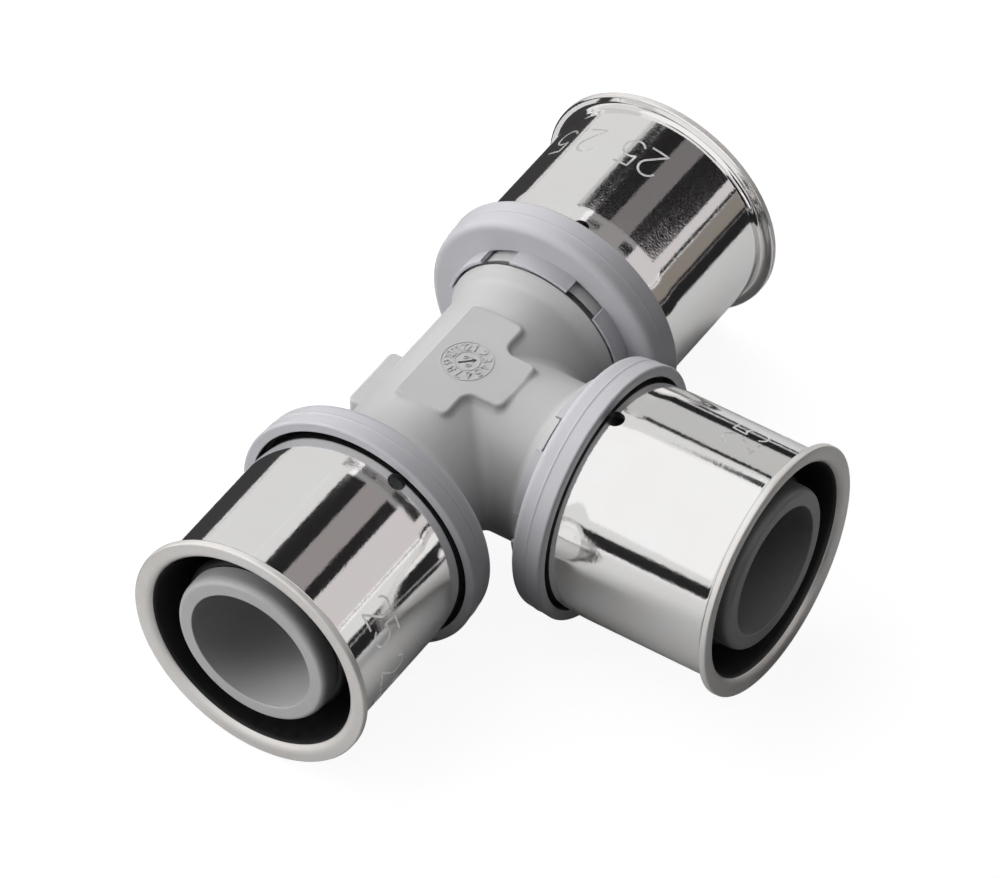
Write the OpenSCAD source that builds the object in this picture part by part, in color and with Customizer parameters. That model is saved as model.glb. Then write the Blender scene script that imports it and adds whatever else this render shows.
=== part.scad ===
// Press-fit equal tee for multilayer pipe: a moulded body with three spigots,
// three press sleeves held by slotted retaining rings, and two O-rings a spigot.
// Millimetres. The run lies along X and the branch along -Y, with +Z up.
// The three axes cross at the origin.

/* [Pipe] */
// Outside diameter of the pipe that each end takes
pipe_od = 25; // [24:0.1:26]
// Wall thickness of that pipe
pipe_wall = 2.5; // [2.3:0.1:2.7]
// How far the pipe slides over each spigot
insert_depth = 21.2; // [20.6:0.1:24]

/* [Body] */
// Run, from the crossing of the axes to a spigot tip
run_reach = 41.1; // [40.5:0.1:50]
// Branch, from the crossing of the axes to its spigot tip
branch_reach = 40.7; // [40.5:0.1:50]
// Radial play between a spigot and the pipe's bore
spigot_play = 0.35; // [0.3:0.05:0.45]
// Wall between a spigot's surface and the water bore
spigot_wall = 2; // [1.9:0.05:2.3]
// Wall of the plain barrels that cross in the middle
barrel_wall = 1.9; // [1.6:0.05:2]
// Fillet between run and branch, at the height of their axes
crotch_fillet = 1.6; // [0.8:0.1:2]
// Step from a spigot up to the collar that stops the pipe
collar_step = 1.15; // [1:0.05:1.4]
// From the crossing of the axes to the rim of each collar
collar_start = 14.3; // [14:0.1:14.6]
// Fillet where a barrel starts to flare into its collar
neck_fillet = 1.6; // [0.8:0.1:2.4]
// Slope of that flare, in degrees from the axis
neck_slope = 40; // [30:1:50]
// Width of the groove behind the collar's rim
rim_groove_w = 0.7; // [0.4:0.1:1]
// Depth of that groove
rim_groove_d = 0.4; // [0.2:0.05:0.5]
// Width of the rim in front of that groove
rim_land = 0.12; // [0.05:0.01:0.3]
// Length of the lead-in at a spigot's tip
tip_lead = 1.05; // [0.6:0.05:1.3]
// Radial drop of that lead-in
tip_drop = 0.65; // [0.4:0.05:0.9]

/* [Barbs] */
// Saw teeth that grip the pipe on each spigot
barb_count = 4; // [2:1:4]
// Distance from one tooth to the next
barb_pitch = 1.7; // [1.2:0.1:1.8]
// Depth of the teeth
barb_depth = 0.3; // [0.15:0.05:0.4]
// Flat at the root of a tooth
barb_root = 0.3; // [0.1:0.05:0.6]
// From the pipe stop to the first tooth
barb_start = 1.4; // [0.8:0.1:1.8]

/* [Pad] */
// Height of the flat pad above the crossing of the axes
pad_z = 9.7; // [9.6:0.05:9.9]
// Length of the pad along the run
pad_len = 15.8; // [13:0.1:17]
// From the run's axis back to the pad's rear edge
pad_back = 3.7; // [3:0.1:4.2]
// From the run's axis forward to the pad's front edge
pad_front = 3.1; // [2.8:0.1:3.6]
// Width of the pad's tongue along the branch
tongue_w = 7.4; // [6:0.1:8]
// From the run's axis to the end of the tongue
tongue_end = 7.5; // [6.5:0.1:9]
// Fillet in the two inner corners of the pad
pad_fillet = 1.3; // [0.6:0.1:2]
// Bevel round the pad's top edge
pad_bevel = 0.25; // [0.1:0.05:0.4]
// Rounding of the pad's outer corners, seen from above
pad_corner = 0.8; // [0.5:0.1:1.2]

/* [Rear lug] */
// Width of the lug opposite the branch
lug_w = 8.8; // [6:0.1:12]
// From the run's axis to the lug's rear face
lug_reach = 12.2; // [10.6:0.1:13]
// Height of the lug's top above the axes
lug_top = 0.4; // [0:0.1:1.5]
// Depth of the lug below its top
lug_h = 3.6; // [2.5:0.1:5]
// Rounding of the lug's upright corners
lug_round = 0.8; // [0.3:0.1:1.5]

/* [O-rings] */
// Diameter of the O-ring's section
seal_section = 1.6; // [1.4:0.05:1.7]
// Depth of an O-ring groove in the spigot
seal_groove_d = 1.1; // [1:0.05:1.15]
// Length of an O-ring groove along the spigot
seal_groove_w = 1.9; // [1.8:0.05:2.2]
// From the spigot's tip to the first groove
first_seal = 2.5; // [2.2:0.1:3]
// From the first groove's start to the second's
seal_pitch = 5; // [4:0.1:5.4]
// Gap between an O-ring and the floor of its groove
seal_seat = 0.03; // [0.02:0.01:0.05]

/* [Press sleeve] */
// Radial play between the pipe and a sleeve
sleeve_play = 0.2; // [0.15:0.05:0.4]
// Wall of a sleeve
sleeve_wall = 0.9; // [0.7:0.05:1.1]
// How far a sleeve's mouth stands past the spigot's tip
mouth_lip = 0.36; // [0.2:0.02:1]
// How far the mouth flares out from the sleeve's wall
flare = 1.3; // [0.9:0.05:1.6]
// Bend radius inside the flare
flare_bend = 0.9; // [0.6:0.05:1]
// Radial step where the inner end of a sleeve is necked in
neck_in = 0.38; // [0.2:0.02:0.45]
// Length of the curve that makes that step
neck_in_len = 1.4; // [1:0.1:1.8]
// Where that curve starts, in front of the ring
neck_ahead = 0.45; // [0.3:0.05:1]
// Diameter of an inspection hole
view_hole_d = 1.75; // [1.2:0.05:2]
// From the pipe stop to the centre of the holes
view_hole_z = 1.25; // [1.1:0.05:2]
// Inspection holes round each sleeve
view_hole_count = 3; // [2:1:4]

/* [Retaining ring] */
// Width of the ring's flange along the pipe
flange_w = 4; // [3.6:0.1:4.4]
// How far the flange stands in front of the pipe stop
flange_ahead = 0.5; // [0.3:0.05:0.8]
// Wall of the flange outside the sleeve's recess
flange_rim = 1.12; // [0.9:0.02:1.4]
// Radial gap between a sleeve and the recess it stands in
recess_gap = 0.35; // [0.25:0.05:0.6]
// Depth of the sleeve's recess
recess_d = 1.9; // [1.6:0.1:2.2]
// Play between the ring's bore and the body's collar
ring_fit = 0.15; // [0.1:0.01:0.2]
// Play between the ring's hub and the sleeve around it
hub_fit = 0.12; // [0.1:0.01:0.15]
// Play between a sleeve's end and the floor of its recess
sleeve_seat = 0.02; // [0.01:0.01:0.1]
// Rounding of the flange's front edge
front_round = 0.5; // [0.3:0.05:0.7]
// Rounding of the flange's back edge
back_round = 1; // [0.6:0.05:1.2]
// Height of the slotted lip behind the flange
lip_h = 2.1; // [1.6:0.1:2.4]
// Wall of that lip
lip_wall = 0.65; // [0.5:0.05:0.8]
// Play between the lip and the body's collar
lip_play = 0.25; // [0.2:0.05:0.35]
// Slots in the lip
lip_slots = 6; // [3:1:8]
// Width of a slot, in degrees
slot_angle = 20.5; // [12:0.5:26]
// How much wider the ring's bore is behind the slots
slot_relief = 0.25; // [0.1:0.05:0.4]
// Depth of that wider bore into the flange
slot_relief_d = 0.5; // [0.3:0.05:0.7]
// Height of the bead that snaps into the body's groove
bead_h = 0.45; // [0.3:0.05:0.5]
// Length of that bead
bead_w = 0.6; // [0.5:0.05:0.8]
// From the pipe stop back to the middle of the bead
bead_back = 1.9; // [1.6:0.1:2.1]

/* [Hidden] */
$fn = 96;
edge_break = 0.25;
rim_round = 0.3;
sink = 0.6;
arc_steps = 5;
gusset_rows = 18;
gusset_sink = 0.12;

ARM_AZ = [180, 0, -90];
RING_TURN = [10, -27, 22];
HOLE_TURN = [-24.6, 7, 5.5];
reach = [run_reach, run_reach, branch_reach];

spigot_r = pipe_od / 2 - pipe_wall - spigot_play;
bore_r = spigot_r - spigot_wall;
barrel_r = bore_r + barrel_wall;
collar_r = spigot_r + collar_step;

sleeve_in_r = pipe_od / 2 + sleeve_play;
sleeve_r = sleeve_in_r + sleeve_wall;
tail_in_r = sleeve_in_r - neck_in;

ring_bore_r = collar_r + ring_fit;
hub_r = tail_in_r - hub_fit;
recess_r = sleeve_r + recess_gap;
flange_r = recess_r + flange_rim;
lip_in_r = collar_r + lip_play;
lip_r = lip_in_r + lip_wall;
draft = 0.14;

// Heights along an arm, counted outward from the face that stops the pipe
flange_front = flange_ahead;
flange_back = flange_front - flange_w;
recess_floor = flange_front - recess_d;
lip_end = flange_back - lip_h;
mouth = insert_depth + mouth_lip;
seal_low = [for (i = [0, 1]) insert_depth - first_seal - seal_groove_w - i * seal_pitch];

// Turns a shape drawn along +Z, with its upper side towards +X, onto an arm
module on_axis(arm)
  rotate([0, 0, ARM_AZ[arm]]) rotate([0, 90, 0]) rotate([0, 0, 180]) children();

// The same, with z = 0 at the face that stops the pipe
module on_arm(arm)
  on_axis(arm) translate([0, 0, reach[arm] - insert_depth]) children();

// Points of a circular arc
function arc(c, r, from, to, n = arc_steps) =
  [for (i = [0 : n]) let (a = from + (to - from) * i / n) c + r * [cos(a), sin(a)]];

// A round tube wall given as half profile points [radius, height]
module turned(points)
  rotate_extrude() polygon(points);

// One barrel with its flare, collar, barbed spigot and seal grooves
module arm_solid(arm) {
  stop = reach[arm] - insert_depth;
  bend = arc([barrel_r + neck_fillet, 0], neck_fillet, 180, 180 - neck_slope);
  flare_len = (collar_r - bend[arc_steps][0]) / tan(neck_slope);
  bend_z = collar_start - flare_len - bend[arc_steps][1];
  groove_r = collar_r - rim_groove_d;
  groove_z = collar_start + rim_land;
  snap_r = ring_bore_r - bead_h - ring_fit;
  snap_lo = stop - bead_back - bead_w / 2 - ring_fit;
  snap_hi = stop - bead_back + bead_w / 2 + ring_fit;
  seal_r = spigot_r - seal_groove_d;
  on_axis(arm) turned(concat(
    [[0, 0], [barrel_r, 0]],
    [for (p = bend) [p[0], p[1] + bend_z]],
    [
      [collar_r, collar_start], [collar_r, groove_z], [groove_r, groove_z],
      [groove_r, groove_z + rim_groove_w], [collar_r, groove_z + rim_groove_w],
      [collar_r, snap_lo], [snap_r, snap_lo], [snap_r, snap_hi], [collar_r, snap_hi],
      [collar_r, stop - edge_break], [collar_r - edge_break, stop], [spigot_r, stop]
    ],
    [for (i = [0 : barb_count - 1], p = [
      [spigot_r, barb_start + i * barb_pitch],
      [spigot_r - barb_depth, barb_start + (i + 1) * barb_pitch - barb_root],
      [spigot_r - barb_depth, barb_start + (i + 1) * barb_pitch]
    ]) p + [0, stop]],
    [[spigot_r, stop + barb_start + barb_count * barb_pitch]],
    [for (i = [1, 0], p = [
      [spigot_r, seal_low[i]], [seal_r, seal_low[i]],
      [seal_r, seal_low[i] + seal_groove_w], [spigot_r, seal_low[i] + seal_groove_w]
    ]) p + [0, stop]],
    [for (i = [0 : arc_steps]) let (a = 90 * i / arc_steps)
      [spigot_r - tip_drop * (1 - cos(a)), reach[arm] - tip_lead * (1 - sin(a))]],
    [[0, reach[arm]]]
  ));
}

// Where a ball rolling in the corner between run and branch touches and passes:
// row t goes from the underside (-1) to the top (1), column s from run (0) to branch (1)
function gusset_point(t, s, r, f) =
  let (
    h = 84 * t,
    z = (r + f) * sin(h),
    d = (r + f) * cos(h),
    k = r / (r + f),
    to_run = [0, d * (1 - k), -z * (1 - k)] / f,
    to_branch = [-d * (1 - k), 0, -z * (1 - k)] / f,
    w = acos(min(1, to_run * to_branch)),
    way = (sin((1 - s) * w) * to_run + sin(s * w) * to_branch) / sin(w),
    inside = (s == 0 || s == 1) ? gusset_sink : 0
  )
  [d, -d, z] + (f + inside) * way;

// The moulded fillet in the corner between the run and one side of the branch
module gusset() {
  cols = arc_steps + 1;
  rim = [for (j = [-gusset_rows : gusset_rows])
    for (i = [0 : arc_steps + 1])
      let (t = j / gusset_rows)
      i <= arc_steps
        ? gusset_point(t, i / arc_steps, barrel_r, crotch_fillet)
        : let (a = gusset_point(t, 0, barrel_r, crotch_fillet),
               b = gusset_point(t, 1, barrel_r, crotch_fillet))
          [b[0] * 0.86, a[1] * 0.86, a[2] * 0.86]];
  n = cols + 1;
  rows = 2 * gusset_rows;
  polyhedron(rim, concat(
    [for (j = [0 : rows - 1], i = [0 : n - 1]) let (a = j * n + i, b = j * n + (i + 1) % n)
      [a, b, b + n]],
    [for (j = [0 : rows - 1], i = [0 : n - 1]) let (a = j * n + i, b = j * n + (i + 1) % n)
      [a, b + n, a + n]],
    [[for (i = [n - 1 : -1 : 0]) i], [for (i = [0 : n - 1]) rows * n + i]]
  ));
}

// A flat block with rounded corners and a bevelled top, from [x0, y0] to [x1, y1]
module bevelled(x0, y0, x1, y1)
  hull()
    for (x = [x0 + pad_corner, x1 - pad_corner], y = [y0 + pad_corner, y1 - pad_corner])
      translate([x, y, barrel_r / 2]) {
        cylinder(r = pad_corner, h = pad_z - pad_bevel - barrel_r / 2, $fn = 24);
        cylinder(r = pad_corner - pad_bevel, h = pad_z - barrel_r / 2, $fn = 24);
      }

// T-shaped flat on top, for the date dial
module pad() {
  bevelled(-pad_len / 2, -pad_front, pad_len / 2, pad_back);
  bevelled(-tongue_w / 2, -tongue_end, tongue_w / 2, 0);
  for (side = [-1, 1])
    difference() {
      translate([side > 0 ? tongue_w / 2 - sink : -tongue_w / 2 - pad_fillet,
                 -pad_front - pad_fillet, barrel_r / 2])
        cube([pad_fillet + sink, pad_fillet + sink, pad_z - barrel_r / 2]);
      translate([side * (tongue_w / 2 + pad_fillet), -pad_front - pad_fillet, 0]) {
        cylinder(r = pad_fillet, h = pad_z + 1);
        translate([0, 0, pad_z - pad_bevel])
          cylinder(r1 = pad_fillet, r2 = pad_fillet + pad_bevel, h = pad_bevel);
      }
    }
}

// Holding lug on the side away from the branch
module lug()
  translate([0, 0, lug_top - lug_h])
    linear_extrude(lug_h)
      difference() {
        translate([-lug_w / 2, barrel_r / 2])
          square([lug_w, lug_reach - barrel_r / 2]);
        for (side = [-1, 1])
          translate([side * (lug_w / 2 - lug_round), lug_reach - lug_round])
            difference() {
              translate([side > 0 ? 0 : -lug_round - 1, 0])
                square([lug_round + 1, lug_round + 1]);
              circle(r = lug_round);
            }
      }

// Moulded body: three arms, the blends between them, pad, lug and water bores
module tee_body()
  color([0.72, 0.72, 0.73])
    difference() {
      union() {
        for (arm = [0 : 2])
          arm_solid(arm);
        for (side = [0, 1])
          mirror([side, 0, 0]) gusset();
        pad();
        lug();
      }
      rotate([0, 90, 0])
        cylinder(r = bore_r, h = 2 * run_reach + 2, center = true);
      on_axis(2)
        cylinder(r = bore_r, h = branch_reach + 1);
    }

// Plastic ring: slotted lip, flange, snap bead, hub and the sleeve's recess
module retaining_ring(arm) {
  mid = (flange_front + flange_back) / 2;
  edge_r = flange_r - draft;
  color([0.70, 0.70, 0.74])
    on_arm(arm) rotate([0, 0, RING_TURN[arm]])
      difference() {
        turned(concat(
          [[lip_in_r, lip_end], [lip_r, lip_end], [lip_r, flange_back]],
          arc([edge_r - back_round, flange_back + back_round], back_round, -90, 0),
          [[flange_r, mid]],
          arc([edge_r - front_round, flange_front - front_round], front_round, 0, 90),
          [
            [recess_r, flange_front], [recess_r, recess_floor],
            [hub_r, recess_floor], [hub_r, -edge_break], [hub_r - edge_break, 0],
            [ring_bore_r, 0],
            [ring_bore_r, -bead_back + bead_w / 2],
            [ring_bore_r - bead_h, -bead_back + bead_w / 4],
            [ring_bore_r - bead_h, -bead_back - bead_w / 4],
            [ring_bore_r, -bead_back - bead_w / 2],
            [ring_bore_r, flange_back], [lip_in_r, flange_back]
          ]
        ));
        for (i = [0 : lip_slots - 1])
          rotate([0, 0, i * 360 / lip_slots - slot_angle / 2])
            rotate_extrude(angle = slot_angle) {
              translate([lip_in_r - 1, lip_end - 1])
                square([lip_wall + 2, lip_h + 1]);
              translate([lip_in_r - 1, lip_end - 1])
                square([1 + slot_relief, lip_h + 1 + slot_relief_d]);
            }
      }
}

// Stainless sleeve: necked inner end, plain wall, bell mouth and inspection holes
module press_sleeve(arm) {
  neck_top = flange_front + neck_ahead;
  tail_end = recess_floor + sleeve_seat;
  wave = [for (i = [0 : 6]) let (t = i / 6)
    [neck_in * (1 - cos(180 * t)) / 2, neck_top - neck_in_len * t]];
  rim_r = sleeve_r + flare;
  rim_back = mouth - sleeve_wall;
  in_bend = flare_bend + sleeve_wall;
  color([0.80, 0.80, 0.79])
    on_arm(arm)
      difference() {
        turned(concat(
          [[tail_in_r, tail_end], [tail_in_r + sleeve_wall, tail_end]],
          [for (i = [6 : -1 : 0]) [sleeve_r - wave[i][0], wave[i][1]]],
          arc([sleeve_r + flare_bend, rim_back - flare_bend], flare_bend, 180, 90),
          arc([rim_r - rim_round, rim_back + rim_round], rim_round, -90, 0, 3),
          arc([rim_r - rim_round, mouth - rim_round], rim_round, 0, 90, 3),
          arc([sleeve_in_r + in_bend, mouth - in_bend], in_bend, 90, 180, 8),
          [for (i = [0 : 6]) [sleeve_in_r - wave[i][0], wave[i][1]]]
        ));
        for (i = [0 : view_hole_count - 1])
          rotate([0, 0, HOLE_TURN[arm] + i * 360 / view_hole_count])
            translate([0, 0, view_hole_z])
              rotate([0, 90, 0])
                cylinder(d = view_hole_d, h = sleeve_r + 1);
      }
}

// O-ring in groove 0, next to the spigot's tip, or groove 1, behind it
module seal(arm, groove) {
  centre_r = spigot_r - seal_groove_d + seal_seat + seal_section / 2;
  color([0.05, 0.05, 0.05])
    on_arm(arm)
      translate([0, 0, seal_low[groove] + seal_groove_w / 2])
        rotate_extrude()
          translate([centre_r, 0])
            circle(d = seal_section, $fn = 32);
}

tee_body();
retaining_ring(0);  // retaining_ring_left
retaining_ring(1);  // retaining_ring_right
retaining_ring(2);  // retaining_ring_branch
press_sleeve(0);  // press_sleeve_left
press_sleeve(1);  // press_sleeve_right
press_sleeve(2);  // press_sleeve_branch
seal(0, 0);  // outer_seal_left
seal(1, 0);  // outer_seal_right
seal(2, 0);  // outer_seal_branch
seal(0, 1);  // inner_seal_left
seal(1, 1);  // inner_seal_right
seal(2, 1);  // inner_seal_branch
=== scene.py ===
import math

import bpy
import numpy as np
from mathutils import Matrix, Quaternion, Vector


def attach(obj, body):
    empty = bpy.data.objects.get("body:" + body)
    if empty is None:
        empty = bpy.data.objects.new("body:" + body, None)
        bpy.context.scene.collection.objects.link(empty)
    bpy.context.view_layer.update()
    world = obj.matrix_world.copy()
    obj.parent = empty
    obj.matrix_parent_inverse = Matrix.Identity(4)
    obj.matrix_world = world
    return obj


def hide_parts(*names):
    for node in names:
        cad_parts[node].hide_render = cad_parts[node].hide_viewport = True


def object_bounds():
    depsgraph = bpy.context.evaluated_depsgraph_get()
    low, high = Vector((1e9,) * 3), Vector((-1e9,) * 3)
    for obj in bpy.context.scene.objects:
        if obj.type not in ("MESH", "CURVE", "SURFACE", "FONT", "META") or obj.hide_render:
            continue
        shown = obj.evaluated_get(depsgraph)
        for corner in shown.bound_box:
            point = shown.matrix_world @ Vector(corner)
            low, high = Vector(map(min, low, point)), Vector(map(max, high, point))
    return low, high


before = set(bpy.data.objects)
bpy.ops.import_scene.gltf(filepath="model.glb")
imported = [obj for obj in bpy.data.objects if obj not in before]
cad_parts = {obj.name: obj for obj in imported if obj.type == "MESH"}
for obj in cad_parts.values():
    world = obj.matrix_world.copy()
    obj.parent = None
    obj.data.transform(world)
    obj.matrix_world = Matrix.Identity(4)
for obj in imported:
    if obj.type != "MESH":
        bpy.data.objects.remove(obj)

mm = 0.001
cadLow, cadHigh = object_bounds()
floorHeight = cadLow.z
scene = bpy.context.scene
print("frame loaded")


# camera, where the photo's camera stood
cameraPlan = {
    "place": (-549.93, -362.59, 688.13),  # mm
    "azimuth": -56.97,
    "elevation": 46.37,
    "roll": 0.325,
    "lens": 311.91,
    "sensor": 36.0,
    "clip": (0.01, 20),  # m
}


def makeCamera(plan):
    az, el = math.radians(plan["azimuth"]), math.radians(plan["elevation"])
    back = Vector((math.sin(az) * math.cos(el), -math.cos(az) * math.cos(el), math.sin(el)))
    data = bpy.data.cameras.new("camera")
    data.lens = plan["lens"]
    data.sensor_width = plan["sensor"]
    data.clip_start, data.clip_end = plan["clip"]
    camera = bpy.data.objects.new("camera", data)
    scene.collection.objects.link(camera)
    camera.rotation_mode = "QUATERNION"
    turn = back.to_track_quat("Z", "Y")
    camera.rotation_quaternion = turn @ Quaternion((0, 0, 1), math.radians(plan["roll"]))
    camera.location = Vector(plan["place"]) * mm
    scene.camera = camera


makeCamera(cameraPlan)
print("camera placed")


# the three arms: each has its own frame, with z outward and x up
arms = {
    "left": {"heading": 180, "reach": 41.1},
    "right": {"heading": 0, "reach": 41.1},
    "branch": {"heading": -90, "reach": 40.7},
}
insertDepth = 21.2


def armMatrix(arm):
    heading = Matrix.Rotation(math.radians(arms[arm]["heading"]), 4, "Z")
    tip = Matrix.Rotation(math.radians(90), 4, "Y")
    return heading @ tip @ Matrix.Rotation(math.radians(180), 4, "Z")


def meshFrom(name, points, faces, matrix=None):
    # points in mm, and the finished mesh in metres at its own place
    points = np.asarray(points, float)
    if matrix is not None:
        turn = np.array(matrix)
        points = points @ turn[:3, :3].T + turn[:3, 3]
    mesh = bpy.data.meshes.new(name)
    mesh.from_pydata((points * mm).tolist(), [], [list(map(int, f)) for f in faces])
    mesh.validate()
    mesh.polygons.foreach_set("use_smooth", np.ones(len(mesh.polygons), bool))
    return mesh


def pieceFrom(name, mesh, material, slot, *replaced):
    piece = bpy.data.objects.new(name, mesh)
    scene.collection.objects.link(piece)
    mesh.materials.clear()
    mesh.materials.append(material)
    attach(piece, "root")
    if replaced:
        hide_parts(*replaced)


def roundedOutline(corners, steps, widest=0.49):
    # corners are (radius, height, fillet); a fillet of 0 keeps the point as it is,
    # and a fillet takes no more than the widest share of an edge
    outline = []
    count = len(corners)
    for i, (r, z, fillet) in enumerate(corners):
        here = np.array([r, z])
        before = np.array(corners[i - 1][:2]) - here
        after = np.array(corners[(i + 1) % count][:2]) - here
        lengthIn, lengthOut = np.linalg.norm(before), np.linalg.norm(after)
        if fillet <= 0:
            outline.append(here)
            continue
        before, after = before / lengthIn, after / lengthOut
        half = math.acos(max(-1.0, min(1.0, float(before @ after)))) / 2
        reach = min(fillet / math.tan(half), widest * lengthIn, widest * lengthOut)
        radius = reach * math.tan(half)
        middle = before + after
        centre = here + middle / np.linalg.norm(middle) * radius / math.sin(half)
        start, end = here + before * reach - centre, here + after * reach - centre
        sweep = math.pi - 2 * half
        side = math.copysign(1.0, start[0] * end[1] - start[1] * end[0])
        for k in range(steps + 1):
            a = side * sweep * k / steps
            turn = np.array([[math.cos(a), -math.sin(a)], [math.sin(a), math.cos(a)]])
            outline.append(centre + turn @ start)
    return outline


def holdingPoints(outline, hold=0.12, longest=2.5):
    # extra points keep smooth shading true on long straight stretches
    points = []
    for i, here in enumerate(outline):
        there = outline[(i + 1) % len(outline)]
        span = np.linalg.norm(there - here)
        points.append(here)
        if span < 4 * hold:
            continue
        inner = max(1, int(math.ceil((span - 2 * hold) / longest)))
        for k in range(inner + 1):
            t = (hold + (span - 2 * hold) * k / inner) / span
            points.append(here * (1 - t) + there * t)
    return np.array(points)


def turnedMesh(name, corners, matrix, segments=240, steps=6, sweep=360.0, start=0.0):
    # corners run with the material on their left, seen with radius to the right and height up
    outline = holdingPoints(roundedOutline(corners, steps))
    whole = sweep >= 360.0
    columns = segments if whole else segments + 1
    angles = np.radians(start + sweep * np.arange(columns) / segments)
    rows = len(outline)
    ring = np.stack([np.cos(angles), np.sin(angles)], 1)
    points = np.zeros((columns, rows, 3))
    points[:, :, :2] = outline[None, :, 0:1] * ring[:, None, :]
    points[:, :, 2] = outline[None, :, 1]
    faces = []
    for c in range(segments):
        a, b = c * rows, ((c + 1) % columns) * rows
        for k in range(rows):
            n = (k + 1) % rows
            faces.append((a + k, b + k, b + n, a + n))
    if not whole:
        faces.append([rows - 1 - k for k in range(rows)])
        faces.append([segments * rows + k for k in range(rows)])
    return meshFrom(name, points.reshape(-1, 3), faces, matrix)


def geometryTree(name, sizes):
    # a tree that takes and gives a mesh; its named inputs are Count, First Turn, sizes and Material
    tree = bpy.data.node_groups.new(name, "GeometryNodeTree")
    tree.interface.new_socket("Geometry", in_out="INPUT", socket_type="NodeSocketGeometry")
    kinds = {"Count": "NodeSocketInt", "First Turn": "NodeSocketFloat"}
    kinds.update({size: "NodeSocketFloat" for size in sizes})
    kinds["Material"] = "NodeSocketMaterial"
    keys = {}
    for label, kind in kinds.items():
        keys[label] = tree.interface.new_socket(label, in_out="INPUT", socket_type=kind).identifier
    tree.interface.new_socket("Geometry", in_out="OUTPUT", socket_type="NodeSocketGeometry")
    return tree, keys, tree.nodes.new("NodeGroupInput")


def spreadRound(tree, given, shape):
    # copies of a shape spaced round the z axis
    nodes, links = tree.nodes, tree.links
    points = nodes.new("GeometryNodePoints")
    index = nodes.new("GeometryNodeInputIndex")
    share = nodes.new("ShaderNodeMath")
    share.operation = "DIVIDE"
    share.inputs[0].default_value = math.tau
    angle = nodes.new("ShaderNodeMath")
    angle.operation = "MULTIPLY_ADD"
    turn = nodes.new("ShaderNodeCombineXYZ")
    instances = nodes.new("GeometryNodeInstanceOnPoints")
    realize = nodes.new("GeometryNodeRealizeInstances")
    links.new(given.outputs["Count"], points.inputs["Count"])
    links.new(given.outputs["Count"], share.inputs[1])
    links.new(index.outputs["Index"], angle.inputs[0])
    links.new(share.outputs[0], angle.inputs[1])
    links.new(given.outputs["First Turn"], angle.inputs[2])
    links.new(angle.outputs[0], turn.inputs["Z"])
    links.new(points.outputs[0], instances.inputs["Points"])
    links.new(shape, instances.inputs["Instance"])
    links.new(turn.outputs[0], instances.inputs["Rotation"])
    links.new(instances.outputs[0], realize.inputs[0])
    return realize.outputs[0]


def endTree(tree, given, shape):
    nodes, links = tree.nodes, tree.links
    setMaterial = nodes.new("GeometryNodeSetMaterial")
    made = nodes.new("NodeGroupOutput")
    links.new(shape, setMaterial.inputs["Geometry"])
    links.new(given.outputs["Material"], setMaterial.inputs["Material"])
    links.new(setMaterial.outputs[0], made.inputs[0])


def finishedMesh(carrier):
    # the carrier with all its modifiers, as a plain mesh
    bpy.context.view_layer.update()
    evaluated = carrier.evaluated_get(bpy.context.evaluated_depsgraph_get())
    return bpy.data.meshes.new_from_object(evaluated)


def bakeNodes(carrier, tree, keys, values):
    # runs a Geometry Nodes tree on the carrier and gives back its result as a plain mesh
    modifier = carrier.modifiers.new(tree.name, "NODES")
    modifier.node_group = tree
    for label, value in values.items():
        modifier[keys[label]] = value
    mesh = finishedMesh(carrier)
    carrier.modifiers.remove(modifier)
    return mesh


def looseObject(name, mesh):
    carrier = bpy.data.objects.new(name, mesh)
    scene.collection.objects.link(carrier)
    return carrier


def dropObject(carrier):
    mesh = carrier.data
    bpy.data.objects.remove(carrier)
    if mesh.users == 0:
        bpy.data.meshes.remove(mesh)


# materials
def newMaterial(name):
    material = bpy.data.materials.new(name)
    material.use_nodes = True
    nodes = material.node_tree.nodes
    return material, nodes, material.node_tree.links, nodes["Principled BSDF"]


def noiseNode(nodes, links, scale, detail=3.0):
    place = nodes.new("ShaderNodeTexCoord")
    noise = nodes.new("ShaderNodeTexNoise")
    noise.inputs["Scale"].default_value = scale
    noise.inputs["Detail"].default_value = detail
    links.new(place.outputs["Object"], noise.inputs["Vector"])
    return noise.outputs["Fac"]


def rangeNode(nodes, links, source, low=0.0, high=1.0, noiseRange=(0.3, 0.7)):
    # spreads a noise, which mostly stays within noiseRange, from low to high
    spread = nodes.new("ShaderNodeMapRange")
    spread.inputs["From Min"].default_value = noiseRange[0]
    spread.inputs["From Max"].default_value = noiseRange[1]
    spread.inputs["To Min"].default_value = low
    spread.inputs["To Max"].default_value = high
    links.new(source, spread.inputs["Value"])
    return spread.outputs["Result"]


def bumpNode(nodes, links, height, strength, distance, under=None):
    bump = nodes.new("ShaderNodeBump")
    bump.inputs["Strength"].default_value = strength
    bump.inputs["Distance"].default_value = distance
    links.new(height, bump.inputs["Height"])
    if under is not None:
        links.new(under, bump.inputs["Normal"])
    return bump.outputs["Normal"]


def mixColours(nodes, links, factor, first, second):
    mix = nodes.new("ShaderNodeMix")
    mix.data_type = "RGBA"
    mix.inputs[6].default_value = (*first, 1)
    mix.inputs[7].default_value = (*second, 1)
    links.new(factor, mix.inputs[0])
    return mix.outputs[2]


plasticSizes = {
    "cloudScale": 120.0,
    "speckScale": 5200.0,
    "speckDetail": 2.0,
    "speckDepth": 0.00002,  # m
    "smoother": 0.05,  # below and above the given roughness
    "rougher": 0.07,
}


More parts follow.
